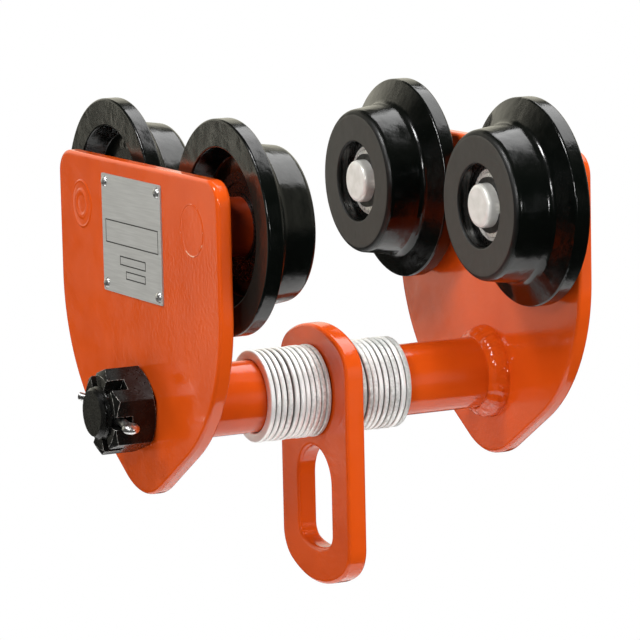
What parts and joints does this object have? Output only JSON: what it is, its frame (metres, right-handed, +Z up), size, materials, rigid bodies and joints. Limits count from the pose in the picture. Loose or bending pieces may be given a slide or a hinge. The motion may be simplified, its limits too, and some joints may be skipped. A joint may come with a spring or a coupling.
{
  "type": "manual beam trolley",
  "caption": "Push-along beam trolley: shield-shaped side plates carry flanged wheels on an I-beam's lower flange; a cross shaft with spacer washers holds a slotted hanger plate for a hoist.",
  "frame": {"origin": "midway between the four wheels, level with the middle of their treads, on the beam flange's top", "axes": "+X along the cross shaft from the nut side to the welded side, +Y along the beam towards the back, +Z up"},
  "size_m": [0.1766, 0.18, 0.1893],
  "materials": {
    "orange_paint": "thick gloss orange paint",
    "black_wheel": "gloss black paint, dull on the turned faces",
    "bare_steel": "satin turned steel",
    "bearing_steel": "ground and polished",
    "spring_steel": "dark phosphate",
    "zinc_steel": "zinc plated, satin",
    "black_oxide": "black oxide, bright on worn edges",
    "bright_wire": "bright drawn wire",
    "plate_aluminium": "brushed"
  },
  "bodies": {
    "frame": {"left_side_plate": "orange_paint", "right_side_plate": "orange_paint", "cross_shaft": "orange_paint", "shaft_weld": "orange_paint", "castle_nut": "black_oxide", "cotter_pin": "bright_wire", "name_plate": "plate_aluminium", "name_plate_rivets": "plate_aluminium", "left_front_axle_pin": "bare_steel", "left_front_circlip": "spring_steel", "left_front_bearing_inner_ring": "bearing_steel", "left_back_axle_pin": "bare_steel", "left_back_circlip": "spring_steel", "left_back_bearing_inner_ring": "bearing_steel", "right_front_axle_pin": "bare_steel", "right_front_circlip": "spring_steel", "right_front_bearing_inner_ring": "bearing_steel", "right_back_axle_pin": "bare_steel", "right_back_circlip": "spring_steel", "right_back_bearing_inner_ring": "bearing_steel"},
    "left_front_wheel": {"left_front_wheel": "black_wheel", "left_front_bearing_outer_ring": "bearing_steel", "left_front_bearing_shields": "bare_steel"},
    "left_front_ball_set": {"left_front_bearing_balls": "bearing_steel", "left_front_bearing_cage": "bare_steel"},
    "left_back_wheel": {"left_back_wheel": "black_wheel", "left_back_bearing_outer_ring": "bearing_steel", "left_back_bearing_shields": "bare_steel"},
    "left_back_ball_set": {"left_back_bearing_balls": "bearing_steel", "left_back_bearing_cage": "bare_steel"},
    "right_front_wheel": {"right_front_wheel": "black_wheel", "right_front_bearing_outer_ring": "bearing_steel", "right_front_bearing_shields": "bare_steel"},
    "right_front_ball_set": {"right_front_bearing_balls": "bearing_steel", "right_front_bearing_cage": "bare_steel"},
    "right_back_wheel": {"right_back_wheel": "black_wheel", "right_back_bearing_outer_ring": "bearing_steel", "right_back_bearing_shields": "bare_steel"},
    "right_back_ball_set": {"right_back_bearing_balls": "bearing_steel", "right_back_bearing_cage": "bare_steel"},
    "hanger_carriage": {"hanger_washers": "zinc_steel"},
    "hanger": {"hanger_plate": "orange_paint"},
    "left_pack": {"left_spacer_washers": "zinc_steel"},
    "right_pack": {"right_spacer_washers": "zinc_steel"}
  },
  "joints": [
    {"name": "left_front_wheel_spin", "type": "hinge", "parent": "frame", "child": "left_front_wheel", "pos_m": [-0.0526, -0.05, 0.02957], "axis": [1, 0, 0], "continuous": true},
    {"name": "left_front_ball_set_orbit", "type": "hinge", "parent": "frame", "child": "left_front_ball_set", "pos_m": [-0.0526, -0.05, 0.02957], "axis": [1, 0, 0], "continuous": true},
    {"name": "left_back_wheel_spin", "type": "hinge", "parent": "frame", "child": "left_back_wheel", "pos_m": [-0.0526, 0.05, 0.02957], "axis": [1, 0, 0], "continuous": true},
    {"name": "left_back_ball_set_orbit", "type": "hinge", "parent": "frame", "child": "left_back_ball_set", "pos_m": [-0.0526, 0.05, 0.02957], "axis": [1, 0, 0], "continuous": true},
    {"name": "right_front_wheel_spin", "type": "hinge", "parent": "frame", "child": "right_front_wheel", "pos_m": [0.0526, -0.05, 0.02957], "axis": [1, 0, 0], "continuous": true},
    {"name": "right_front_ball_set_orbit", "type": "hinge", "parent": "frame", "child": "right_front_ball_set", "pos_m": [0.0526, -0.05, 0.02957], "axis": [1, 0, 0], "continuous": true},
    {"name": "right_back_wheel_spin", "type": "hinge", "parent": "frame", "child": "right_back_wheel", "pos_m": [0.0526, 0.05, 0.02957], "axis": [1, 0, 0], "continuous": true},
    {"name": "right_back_ball_set_orbit", "type": "hinge", "parent": "frame", "child": "right_back_ball_set", "pos_m": [0.0526, 0.05, 0.02957], "axis": [1, 0, 0], "continuous": true},
    {"name": "carriage_slide", "type": "slide", "parent": "frame", "child": "hanger_carriage", "axis": [1, 0, 0], "range_m": [-0.0195, 0.0175]},
    {"name": "hanger_swing", "type": "hinge", "parent": "hanger_carriage", "child": "hanger", "pos_m": [-0.0015, 0, -0.04343], "axis": [1, 0, 0], "range_deg": [-90, 90]},
    {"name": "left_pack_slide", "type": "slide", "parent": "hanger_carriage", "child": "left_pack", "axis": [1, 0, 0], "range_m": [-0.02, 0]},
    {"name": "right_pack_slide", "type": "slide", "parent": "hanger_carriage", "child": "right_pack", "axis": [1, 0, 0], "range_m": [0, 0.018]}
  ],
  "couplings": [
    {"joint": "left_front_ball_set_orbit", "follows": "left_front_wheel_spin", "ratio": 0.61842},
    {"joint": "left_back_ball_set_orbit", "follows": "left_back_wheel_spin", "ratio": 0.61842},
    {"joint": "right_front_ball_set_orbit", "follows": "right_front_wheel_spin", "ratio": 0.61842},
    {"joint": "right_back_ball_set_orbit", "follows": "right_back_wheel_spin", "ratio": 0.61842}
  ]
}
